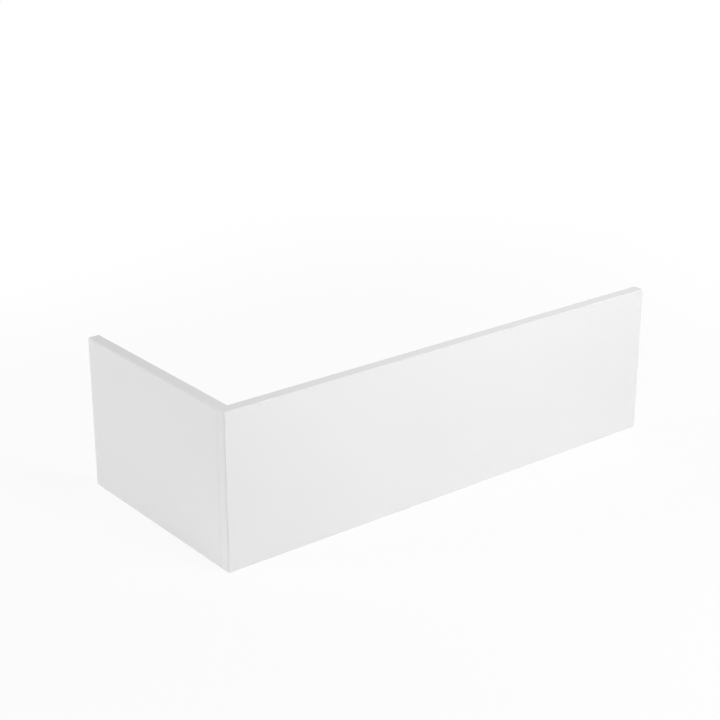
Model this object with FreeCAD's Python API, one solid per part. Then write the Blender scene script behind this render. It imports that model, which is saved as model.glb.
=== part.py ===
import FreeCAD, Part
import os

# L-shaped bath panel: a moulded front panel and a moulded end panel, lapped together at the corner.
# Millimetres, +Z up. The origin is on the floor, at the middle of the rectangle that the two panels bound.
# The front face looks along -Y and the end face along -X.

# Overall sizes
LENGTH = 1800.0             # the front panel's face, along X
WIDTH = 800.0               # from the front face to the end panel's far edge, along Y
HEIGHT = 536.0              # from the floor edge to the top edge

# The moulded sheet
WALL = 5.0                  # thickness of the reinforced acrylic sheet
EDGE_RADIUS = 4.5           # outside of every formed edge
POCKET_RADIUS = 1.5         # inside of every formed edge
FRONT_RETURN = 40.0         # how far the front panel's edges turn back, the visible corner strip included
END_RETURN = 40.0           # how far the end panel's edges turn back

# The corner joint
SEAM_GAP = 0.4              # hairline between the corner strip and the end panel
SEAM_RADIUS = 0.4           # broken edge on both sides of the hairline, carried on along the trimmed edges
LAP_LENGTH = 35.0           # how far the front panel's tongue reaches behind the end panel
LAP_END_GAP = 2.0           # room between the tongue and the end panel's top and bottom returns
LAP_CORNER_RADIUS = 8.0     # the tongue's two free corners

# Places that follow from the sizes above
LEFT = -LENGTH / 2
RIGHT = LENGTH / 2
FRONT = -WIDTH / 2
BACK = WIDTH / 2
SHOULDER = FRONT + FRONT_RETURN         # where the front panel's returns are trimmed
SEAM = SHOULDER + SEAM_GAP              # where the end panel's face begins
PAST = 2 * WALL                         # a cutting tool runs this far past an open side


def block(x0, x1, y0, y1, z0, z1):
    return Part.makeBox(x1 - x0, y1 - y0, z1 - z0, FreeCAD.Vector(x0, y0, z0))


def edge_lies_at(edge, axis, place):
    ends = [getattr(vertex.Point, axis) for vertex in edge.Vertexes]
    return all(abs(end - place) < 1e-6 for end in ends)


def edge_runs_along(edge, axis):
    start, end = (vertex.Point for vertex in edge.Vertexes)
    return abs(abs(getattr(end - start, axis)) - edge.Length) < 1e-6


def rounded(shape, radius, wanted):
    return shape.makeFillet(radius, [edge for edge in shape.Edges if wanted(edge)])


def front_tray():
    # Face with four returned edges, open at the back. The edges in the trim plane stay square.
    trim = SHOULDER
    outside = rounded(
        block(LEFT, RIGHT, FRONT, trim, 0, HEIGHT),
        EDGE_RADIUS,
        lambda edge: not edge_lies_at(edge, "y", trim),
    )
    pocket_end = trim + PAST
    pocket = rounded(
        block(LEFT + WALL, RIGHT - WALL, FRONT + WALL, pocket_end, WALL, HEIGHT - WALL),
        POCKET_RADIUS,
        lambda edge: not edge_lies_at(edge, "y", pocket_end),
    )
    return outside.cut(pocket)


def corner_tongue():
    # The corner strip steps in by one wall and carries on behind the end panel's face.
    outer_face = LEFT + WALL
    tip = SHOULDER + LAP_LENGTH
    tongue = block(
        outer_face, outer_face + WALL,
        SHOULDER - WALL, tip,
        WALL + LAP_END_GAP, HEIGHT - WALL - LAP_END_GAP,
    )
    return rounded(
        tongue,
        LAP_CORNER_RADIUS,
        lambda edge: edge_runs_along(edge, "x") and edge_lies_at(edge, "y", tip),
    )


def front_panel():
    # The broken edge begins at the seam and follows the formed corners right round the trimmed back.
    panel = front_tray().fuse(corner_tongue()).removeSplitter()
    return rounded(
        panel,
        SEAM_RADIUS,
        lambda edge: edge_lies_at(edge, "y", SHOULDER) and edge_lies_at(edge, "x", LEFT),
    )


def end_panel():
    # Returned along the top, the floor and the far end. The seam side is a plain edge over the tongue.
    trim = LEFT + END_RETURN
    outside = rounded(
        block(LEFT, trim, SEAM, BACK, 0, HEIGHT),
        EDGE_RADIUS,
        lambda edge: not edge_lies_at(edge, "x", trim) and not edge_lies_at(edge, "y", SEAM),
    )
    outside = rounded(
        outside,
        SEAM_RADIUS,
        lambda edge: edge_lies_at(edge, "y", SEAM) and edge_lies_at(edge, "x", LEFT),
    )
    pocket_end = trim + PAST
    pocket_start = SEAM - PAST
    pocket = rounded(
        block(LEFT + WALL, pocket_end, pocket_start, BACK - WALL, WALL, HEIGHT - WALL),
        POCKET_RADIUS,
        lambda edge: not edge_lies_at(edge, "x", pocket_end) and not edge_lies_at(edge, "y", pocket_start),
    )
    return outside.cut(pocket)


def main():
    os.makedirs("parts", exist_ok=True)
    for name, make in {"front_panel": front_panel, "end_panel": end_panel}.items():
        solid = make().Solids[0]
        solid.exportStep(f"parts/{name}.step")
        box = solid.optimalBoundingBox(False, False)
        print(f"{name}: valid {solid.isValid()}, {solid.Volume / 1e6:.3f} litres,"
              f" {box.XLength:.1f} x {box.YLength:.1f} x {box.ZLength:.1f} mm")


main()
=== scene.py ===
import bpy
import bmesh
import math
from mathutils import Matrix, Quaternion, Vector


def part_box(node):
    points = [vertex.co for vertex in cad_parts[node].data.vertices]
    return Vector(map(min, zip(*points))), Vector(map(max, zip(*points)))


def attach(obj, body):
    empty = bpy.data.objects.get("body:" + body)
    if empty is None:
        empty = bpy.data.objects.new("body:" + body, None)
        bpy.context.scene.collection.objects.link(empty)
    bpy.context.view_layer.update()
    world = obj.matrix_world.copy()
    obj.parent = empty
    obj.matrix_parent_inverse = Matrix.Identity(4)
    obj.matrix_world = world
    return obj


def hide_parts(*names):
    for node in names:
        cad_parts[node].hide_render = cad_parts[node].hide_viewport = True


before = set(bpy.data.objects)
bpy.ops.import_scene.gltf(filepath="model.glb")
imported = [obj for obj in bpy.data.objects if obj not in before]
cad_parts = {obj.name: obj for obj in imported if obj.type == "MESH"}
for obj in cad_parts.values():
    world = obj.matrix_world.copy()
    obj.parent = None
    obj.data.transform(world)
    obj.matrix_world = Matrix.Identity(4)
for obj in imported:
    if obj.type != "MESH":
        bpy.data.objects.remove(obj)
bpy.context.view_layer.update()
print("frame loaded:", ", ".join(sorted(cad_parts)))


# node helpers

def addNode(tree, kind, values=None, operation=None):
    node = tree.nodes.new("ShaderNode" + kind)
    if operation:
        node.operation = operation
    for socket, value in (values or {}).items():
        node.inputs[socket].default_value = value
    return node


def newGroup(name, inputs, outputs):
    group = bpy.data.node_groups.new(name, "ShaderNodeTree")
    for socket, kind in inputs.items():
        group.interface.new_socket(name=socket, in_out="INPUT", socket_type="NodeSocket" + kind)
    for socket, kind in outputs.items():
        group.interface.new_socket(name=socket, in_out="OUTPUT", socket_type="NodeSocket" + kind)
    return group, group.nodes.new("NodeGroupInput"), group.nodes.new("NodeGroupOutput")


def placeGroup(tree, group, values):
    node = tree.nodes.new("ShaderNodeGroup")
    node.node_tree = group
    for socket, value in values.items():
        node.inputs[socket].default_value = value
    return node


# slow drift of colour and gloss over a moulded sheet
def makeSheetTone():
    group, given, result = newGroup(
        "sheetTone",
        {"Colour": "Color", "Colour Drift": "Float", "Roughness": "Float", "Roughness Drift": "Float",
         "Patch Scale": "Float"},
        {"Colour": "Color", "Roughness": "Float"},
    )
    link = group.links.new
    place = addNode(group, "TexCoord")
    patches = addNode(group, "TexNoise", {"Detail": 3, "Roughness": 0.55})
    smears = addNode(group, "TexNoise", {"Scale": 23, "Detail": 4, "Roughness": 0.6, "Distortion": 0.4})
    link(place.outputs["Object"], patches.inputs["Vector"])
    link(given.outputs["Patch Scale"], patches.inputs["Scale"])
    link(place.outputs["Object"], smears.inputs["Vector"])
    swings = []                 # the noise runs from 0 to 1, and swings about the middle by its drift
    for noise, drift, middle in ((patches, "Colour Drift", 1), (smears, "Roughness Drift", 0)):
        swing = addNode(group, "Math", {1: 0.5}, "SUBTRACT")
        share = addNode(group, "Math", {2: middle}, "MULTIPLY_ADD")
        link(noise.outputs["Fac"], swing.inputs[0])
        link(swing.outputs[0], share.inputs[0])
        link(given.outputs[drift], share.inputs[1])
        swings.append(share)
    tinted = addNode(group, "VectorMath", operation="SCALE")
    link(given.outputs["Colour"], tinted.inputs[0])
    link(swings[0].outputs[0], tinted.inputs["Scale"])
    link(tinted.outputs[0], result.inputs["Colour"])
    gloss = addNode(group, "Math", operation="ADD")
    link(given.outputs["Roughness"], gloss.inputs[0])
    link(swings[1].outputs[0], gloss.inputs[1])
    link(gloss.outputs[0], result.inputs["Roughness"])
    return group


# height of a formed sheet: a long wave from the mould and a fine orange peel
def makeSheetRipple():
    group, given, result = newGroup(
        "sheetRipple",
        {"Wave Scale": "Float", "Wave Height": "Float", "Peel Scale": "Float", "Peel Height": "Float"},
        {"Height": "Float"},
    )
    link = group.links.new
    place = addNode(group, "TexCoord")
    wave = addNode(group, "TexNoise", {"Detail": 1})
    peel = addNode(group, "TexNoise", {"Detail": 2, "Roughness": 0.5})
    heights = []
    for noise, scale, height in ((wave, "Wave Scale", "Wave Height"), (peel, "Peel Scale", "Peel Height")):
        link(place.outputs["Object"], noise.inputs["Vector"])
        link(given.outputs[scale], noise.inputs["Scale"])
        size = addNode(group, "Math", operation="MULTIPLY")
        link(noise.outputs["Fac"], size.inputs[0])
        link(given.outputs[height], size.inputs[1])
        heights.append(size)
    total = addNode(group, "Math", operation="ADD")
    link(heights[0].outputs[0], total.inputs[0])
    link(heights[1].outputs[0], total.inputs[1])
    link(total.outputs[0], result.inputs["Height"])
    return group


sheetTone = makeSheetTone()
sheetRipple = makeSheetRipple()


# glass strands under the resin: noise drawn out along several directions, of which only the crests show
def addStrands(tree, strands):
    place = addNode(tree, "TexCoord")
    slant = Vector((1, 1, 1)).to_track_quat("Z", "Y")      # seen alike from the front, the end and the top
    mask = None
    for layer in range(strands["layers"]):
        turn = slant @ Quaternion((0, 0, 1), math.pi * layer / strands["layers"])
        stretch = addNode(tree, "Mapping", {"Rotation": turn.to_euler(),
                                            "Scale": (strands["length"], strands["width"], 1)})
        stretch.vector_type = "TEXTURE"
        noise = addNode(tree, "TexNoise", {"Scale": 1, "Detail": 0})
        crest = addNode(tree, "MapRange", {"From Min": strands["crest"][0], "From Max": strands["crest"][1]})
        tree.links.new(place.outputs["Object"], stretch.inputs["Vector"])
        tree.links.new(stretch.outputs["Vector"], noise.inputs["Vector"])
        tree.links.new(noise.outputs["Fac"], crest.inputs["Value"])
        if mask is None:
            mask = crest.outputs["Result"]
            continue
        either = addNode(tree, "Math", operation="MAXIMUM")
        tree.links.new(mask, either.inputs[0])
        tree.links.new(crest.outputs["Result"], either.inputs[1])
        mask = either.outputs[0]
    return mask


acrylicIor = 1.49


def sheetMaterial(name, look):
    # one finish of the sheet: its tone, its ripple and, where it has them, its strands
    material = bpy.data.materials.new(name)
    material.use_nodes = True
    tree = material.node_tree
    shader = tree.nodes["Principled BSDF"]
    shader.inputs["IOR"].default_value = acrylicIor
    tone = placeGroup(tree, sheetTone, look["tone"])
    ripple = placeGroup(tree, sheetRipple, look["ripple"])
    bump = addNode(tree, "Bump", {"Strength": 1.0, "Distance": 1.0})
    colour = tone.outputs["Colour"]
    height = ripple.outputs["Height"]
    if "strands" in look:
        strands = look["strands"]
        mask = addStrands(tree, strands)
        raised = addNode(tree, "Math", {1: strands["height"]}, "MULTIPLY_ADD")
        tree.links.new(mask, raised.inputs[0])
        tree.links.new(height, raised.inputs[2])
        height = raised.outputs[0]
        paler = addNode(tree, "Math", {1: strands["paler"], 2: 1}, "MULTIPLY_ADD")
        lighten = addNode(tree, "VectorMath", operation="SCALE")
        tree.links.new(mask, paler.inputs[0])
        tree.links.new(colour, lighten.inputs[0])
        tree.links.new(paler.outputs[0], lighten.inputs["Scale"])
        colour = lighten.outputs[0]
    tree.links.new(colour, shader.inputs["Base Color"])
    tree.links.new(tone.outputs["Roughness"], shader.inputs["Roughness"])
    tree.links.new(height, bump.inputs["Height"])
    tree.links.new(bump.outputs["Normal"], shader.inputs["Normal"])
    return material


# white acrylic as it comes off the mould, the side that shows
glossAcrylic = {
    "tone": {"Colour": (0.84, 0.84, 0.84, 1), "Colour Drift": 0.02, "Roughness": 0.2,
             "Roughness Drift": 0.08, "Patch Scale": 2.2},
    "ripple": {"Wave Scale": 3.0, "Wave Height": 0.0004, "Peel Scale": 420, "Peel Height": 0.000004},
}
# the reinforced back of the same sheet
reinforcedBack = {
    "tone": {"Colour": (0.78, 0.775, 0.755, 1), "Colour Drift": 0.06, "Roughness": 0.5,
             "Roughness Drift": 0.25, "Patch Scale": 9},
    "ripple": {"Wave Scale": 30, "Wave Height": 0.0008, "Peel Scale": 300, "Peel Height": 0.00008},
    "strands": {"length": 0.045, "width": 0.002, "layers": 5, "crest": (0.55, 0.7), "height": 0.00015,
                "paler": 0.05},
}
# edges that were sawn to size
sawnTrim = {
    "tone": {"Colour": (0.81, 0.81, 0.80, 1), "Colour Drift": 0.04, "Roughness": 0.45,
             "Roughness Drift": 0.15, "Patch Scale": 30},
    "ripple": {"Wave Scale": 60, "Wave Height": 0.0001, "Peel Scale": 900, "Peel Height": 0.00003},
}
finishes = [
    sheetMaterial("glossAcrylic", glossAcrylic),
    sheetMaterial("reinforcedBack", reinforcedBack),
    sheetMaterial("sawnTrim", sawnTrim),
]
print("finishes made:", ", ".join(finish.name for finish in finishes))

# both panels are the same moulded sheet, sizes in metres
sheet = {
    "wall": 0.005,
    "returnDepth": 0.040,       # how far the edges turn back
    "edgeRadius": 0.0045,       # outside of a formed edge
    "edgeSteps": 8,
    "pocketRadius": 0.0015,     # inside of a formed edge
    "pocketSteps": 5,
    "trimRadius": 0.0004,       # broken edge wherever the saw went
    "trimSteps": 3,
    "trimAngle": math.radians(40),
}
near = 1e-5                     # two places closer than this are the same
alike = 0.9                     # two directions with a larger dot product are the same


# selecting by place

def liesAt(part, axis, place):
    return all(abs(getattr(vert.co, axis) - place) < near for vert in part.verts)


def onTwo(edge, planes):        # an edge where two of the planes meet
    return sum(liesAt(edge, axis, place) for axis, place in planes) == 2


def pick(piece, kind, wanted):
    bpy.ops.mesh.select_mode(type=kind)
    bpy.ops.mesh.select_all(action="DESELECT")
    mesh = bmesh.from_edit_mesh(piece.data)
    for part in (mesh.faces if kind == "FACE" else mesh.edges):
        part.select_set(wanted(part))
    bmesh.update_edit_mesh(piece.data)


# steps that both panels go through

def mouldTray(name, low, high, openSide):
    # a block at the panel's size, hollowed out from its open side
    bpy.ops.object.select_all(action="DESELECT")
    bpy.ops.mesh.primitive_cube_add(size=1, location=(low + high) / 2, scale=high - low)
    piece = bpy.context.object
    piece.name = name
    piece.data.name = name
    bpy.ops.object.transform_apply(location=True, rotation=True, scale=True)
    bpy.ops.object.mode_set(mode="EDIT")
    pick(piece, "FACE", lambda face: face.normal.dot(openSide) > alike)
    bpy.ops.mesh.inset(thickness=sheet["wall"], use_even_offset=True)
    hollow = -openSide * ((high - low).dot(openSide) - sheet["wall"])
    bpy.ops.mesh.extrude_region_move(TRANSFORM_OT_translate={"value": hollow})
    return piece


def roundEdges(piece, radius, steps, wanted):
    pick(piece, "EDGE", wanted)
    bpy.ops.mesh.bevel(offset=radius, segments=steps, profile=0.5, affect="EDGES")


def roundTray(piece, outside):
    # outside edges first, then the same edges one wall further in
    roundEdges(piece, sheet["edgeRadius"], sheet["edgeSteps"], lambda edge: onTwo(edge, outside))
    inside = [(axis, place + inwards * sheet["wall"]) for (axis, place), inwards in outside.items()]
    roundEdges(piece, sheet["pocketRadius"], sheet["pocketSteps"], lambda edge: onTwo(edge, inside))


def finishMesh(piece):
    # break the sawn edges, then shade the flats flat and the bends round
    bpy.ops.mesh.select_all(action="SELECT")
    bpy.ops.mesh.normals_make_consistent(inside=False)
    roundEdges(piece, sheet["trimRadius"], sheet["trimSteps"],
               lambda edge: edge.is_convex and edge.calc_face_angle() > sheet["trimAngle"])
    bpy.ops.object.mode_set(mode="OBJECT")
    bpy.ops.object.shade_smooth_by_angle(angle=sheet["trimAngle"])
    weighted = piece.modifiers.new("flatFaces", "WEIGHTED_NORMAL")
    weighted.keep_sharp = True
    bpy.ops.object.modifier_apply(modifier=weighted.name)


def hollowOf(low, high):
    # corners of the space inside the walls, a hair outside its own faces
    inwards = Vector((sheet["wall"] - near,) * 3)
    return low + inwards, high - inwards


def dress(piece, isBack, isTrim):
    # slot 0 shows, slot 1 is the back, slot 2 is where the saw went
    for finish in finishes:
        piece.data.materials.append(finish)
    for face in piece.data.polygons:
        if isTrim(face.center):
            face.material_index = 2
        elif isBack(face.center):
            face.material_index = 1


def standFor(piece, node):
    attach(piece, "root")
    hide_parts(node)
    print(piece.name, "stands for", node, "with", len(piece.data.polygons), "faces")


# front panel: a tray with four turned-back edges, and a tongue that laps behind the end panel
lap = {
    "endGap": 0.002,            # room above and below the tongue
    "cornerRadius": 0.008,
    "cornerSteps": 8,
}


def addTongue(piece, low, shoulder, tip, top):
    wallFace = low.x + sheet["wall"]
    stepIn = shoulder - sheet["wall"]
    bottomEnd = low.z + sheet["wall"] + lap["endGap"]
    topEnd = top - sheet["wall"] - lap["endGap"]

    def onCornerStrip(face):    # the flat inside of the corner strip
        return liesAt(face, "x", wallFace)

    def onBand(face):           # the band of it beside the trimmed edge
        return liesAt(face, "x", wallFace) and face.calc_center_median().y > stepIn

    def onStep(face):           # the end of the step, in the trim plane
        middle = face.calc_center_median()
        inStep = wallFace < middle.x < wallFace + sheet["wall"] and bottomEnd < middle.z < topEnd
        return inStep and liesAt(face, "y", shoulder)

    pick(piece, "FACE", onCornerStrip)
    bpy.ops.mesh.bisect(plane_co=(0, stepIn, 0), plane_no=(0, 1, 0))
    for end in (bottomEnd, topEnd):
        pick(piece, "FACE", onBand)
        bpy.ops.mesh.bisect(plane_co=(0, 0, end), plane_no=(0, 0, 1))
    pick(piece, "FACE", lambda face: onBand(face) and bottomEnd < face.calc_center_median().z < topEnd)
    bpy.ops.mesh.extrude_region_move(TRANSFORM_OT_translate={"value": (sheet["wall"], 0, 0)})
    pick(piece, "FACE", onStep)
    bpy.ops.mesh.extrude_region_move(TRANSFORM_OT_translate={"value": (0, tip - shoulder, 0)})
    corners = [("y", tip), ("z", bottomEnd), ("z", topEnd)]
    roundEdges(piece, lap["cornerRadius"], lap["cornerSteps"], lambda edge: onTwo(edge, corners))


def makeFrontPanel():
    low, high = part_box("front_panel")
    tip = high.y
    shoulder = low.y + sheet["returnDepth"]
    trayHigh = Vector((high.x, shoulder, high.z))
    piece = mouldTray("frontPanelMoulding", low, trayHigh, Vector((0, 1, 0)))
    sides = {("x", low.x): 1, ("x", high.x): -1, ("z", low.z): 1, ("z", high.z): -1}
    roundTray(piece, {**sides, ("y", low.y): 1})
    addTongue(piece, low, shoulder, tip, high.z)
    finishMesh(piece)
    hollowLow, hollowHigh = hollowOf(low, high)

    def inHollow(at):
        acrossX = hollowLow.x < at.x < hollowHigh.x
        acrossZ = hollowLow.z < at.z < hollowHigh.z
        return acrossX and acrossZ and at.y > hollowLow.y

    dress(
        piece,
        lambda at: at.y > shoulder or inHollow(at),
        lambda at: abs(at.y - shoulder) < sheet["trimRadius"],
    )
    standFor(piece, "front_panel")


# end panel: the same tray, with its near return sawn off along the seam
seamCut = {
    "waste": 0.010,             # what the saw takes off
}


def makeEndPanel():
    low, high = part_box("end_panel")
    seam = low.y
    trayLow = low - Vector((0, seamCut["waste"], 0))
    piece = mouldTray("endPanelMoulding", trayLow, high, Vector((1, 0, 0)))
    bpy.ops.mesh.select_all(action="SELECT")
    bpy.ops.mesh.bisect(plane_co=(0, seam, 0), plane_no=(0, 1, 0), use_fill=True, clear_inner=True)
    roundTray(piece, {("x", low.x): 1, ("y", high.y): -1, ("z", low.z): 1, ("z", high.z): -1})
    finishMesh(piece)
    hollowLow, hollowHigh = hollowOf(low, high)
    dress(
        piece,
        lambda at: at.x > hollowLow.x and at.y < hollowHigh.y and hollowLow.z < at.z < hollowHigh.z,
        lambda at: high.x - at.x < sheet["trimRadius"] or at.y - seam < sheet["trimRadius"],
    )
    standFor(piece, "end_panel")


makeFrontPanel()
makeEndPanel()

# pale floor that melts into a white background
floor = {
    "size": 120,
    "colour": (0.9, 0.9, 0.9, 1),
    "nearWhite": 0.9,           # share of plain white beside the object, where its shadow lies
    "nearReach": 1.2,
    "farReach": 3.5,
}


def addSeen(tree):
    # 1 for what the camera sees itself, mirrored or through glass
    path = addNode(tree, "LightPath")
    seen = addNode(tree, "Math", operation="MAXIMUM")
    seenToo = addNode(tree, "Math", operation="MAXIMUM")
    tree.links.new(path.outputs["Is Camera Ray"], seen.inputs[0])
    tree.links.new(path.outputs["Is Glossy Ray"], seen.inputs[1])
    tree.links.new(seen.outputs[0], seenToo.inputs[0])
    tree.links.new(path.outputs["Is Transmission Ray"], seenToo.inputs[1])
    return seenToo


def makeFloor():
    bpy.ops.object.select_all(action="DESELECT")
    bpy.ops.mesh.primitive_plane_add(size=floor["size"])
    ground = bpy.context.object
    ground.name = "studioFloor"
    material = bpy.data.materials.new("paleFloor")
    material.use_nodes = True
    tree = material.node_tree
    tree.nodes.clear()
    link = tree.links.new
    place = addNode(tree, "TexCoord")
    reach = addNode(tree, "VectorMath", operation="LENGTH")
    fade = addNode(tree, "MapRange", {"From Min": floor["nearReach"], "From Max": floor["farReach"],
                                      "To Min": floor["nearWhite"], "To Max": 1})
    fade.interpolation_type = "SMOOTHSTEP"
    link(place.outputs["Object"], reach.inputs[0])
    link(reach.outputs["Value"], fade.inputs["Value"])
    share = addNode(tree, "Math", operation="MULTIPLY")
    link(addSeen(tree).outputs[0], share.inputs[0])
    link(fade.outputs["Result"], share.inputs[1])
    matt = addNode(tree, "BsdfDiffuse", {"Color": floor["colour"]})
    white = addNode(tree, "Emission", {"Color": (1, 1, 1, 1), "Strength": 1})
    mix = addNode(tree, "MixShader")
    out = addNode(tree, "OutputMaterial")
    link(share.outputs[0], mix.inputs[0])
    link(matt.outputs[0], mix.inputs[1])
    link(white.outputs[0], mix.inputs[2])
    link(mix.outputs[0], out.inputs["Surface"])
    ground.data.materials.append(material)
    print("floor laid:", floor["size"], "m wide")


makeFloor()

# studio light: softboxes around the object, all turned to the panel's middle
softboxes = {
    "aim": (-0.1, -0.05, 0.27),
    "spread": 0.4,              # side of a box for each metre of its distance
    "ambient": 0.2,             # strength of the white room around them
    "boxes": {                  # azimuth from the front towards the right, elevation, distance, watts
        "keyBox": (15, 50, 4, 77),
        "frontBox": (0, 10, 9, 186),
        "endBox": (-120, 12, 20, 2135),
        "rightBox": (90, 10, 4, 40),
        "backBox": (180, 10, 4, 45),
    },
    "unmirrored": ("endBox",),  # its mirror image would burn the gloss top edges out to white
}


def outwards(azimuth, elevation):
    turn, rise = math.radians(azimuth), math.radians(elevation)
    return Vector((math.sin(turn) * math.cos(rise), -math.cos(turn) * math.cos(rise), math.sin(rise)))


def makeLamps():
    for name, (azimuth, elevation, distance, watts) in softboxes["boxes"].items():
        light = bpy.data.lights.new(name, "AREA")
        light.size = softboxes["spread"] * distance
        light.energy = watts
        holder = bpy.data.objects.new(name, light)
        holder.visible_glossy = name not in softboxes["unmirrored"]
        bpy.context.scene.collection.objects.link(holder)
        out = outwards(azimuth, elevation)
        holder.location = Vector(softboxes["aim"]) + out * distance
        holder.rotation_euler = (-out).to_track_quat("-Z", "Y").to_euler()


def makeWorld():
    world = bpy.data.worlds.new("studio")
    bpy.context.scene.world = world
    world.use_nodes = True
    tree = world.node_tree
    tree.nodes.clear()
    soft = addNode(tree, "Background", {"Color": (1, 1, 1, 1), "Strength": softboxes["ambient"]})
    white = addNode(tree, "Background", {"Color": (1, 1, 1, 1), "Strength": 1})
    mix = addNode(tree, "MixShader")
    out = addNode(tree, "OutputWorld")
    tree.links.new(addSeen(tree).outputs[0], mix.inputs[0])
    tree.links.new(soft.outputs[0], mix.inputs[1])
    tree.links.new(white.outputs[0], mix.inputs[2])
    tree.links.new(mix.outputs[0], out.inputs["Surface"])


makeLamps()
makeWorld()
print("lamps hung:", ", ".join(softboxes["boxes"]))

# camera
camera = {
    "target": (-0.0295, 0.0547, 0.3499),
    "azimuth": -38.30,
    "elevation": 21.486,
    "distance": 5.7688,
    "lens": 82.71,
    "sensor": 36,
}


def makeCamera():
    lens = bpy.data.cameras.new("camera")
    lens.lens = camera["lens"]
    lens.sensor_width = camera["sensor"]
    holder = bpy.data.objects.new("camera", lens)
    bpy.context.scene.collection.objects.link(holder)
    out = outwards(camera["azimuth"], camera["elevation"])
    holder.location = Vector(camera["target"]) + out * camera["distance"]
    holder.rotation_euler = (-out).to_track_quat("-Z", "Y").to_euler()
    bpy.context.scene.camera = holder


makeCamera()
bpy.context.scene.view_settings.view_transform = "Standard"
print("camera set at", camera["azimuth"], "degrees")
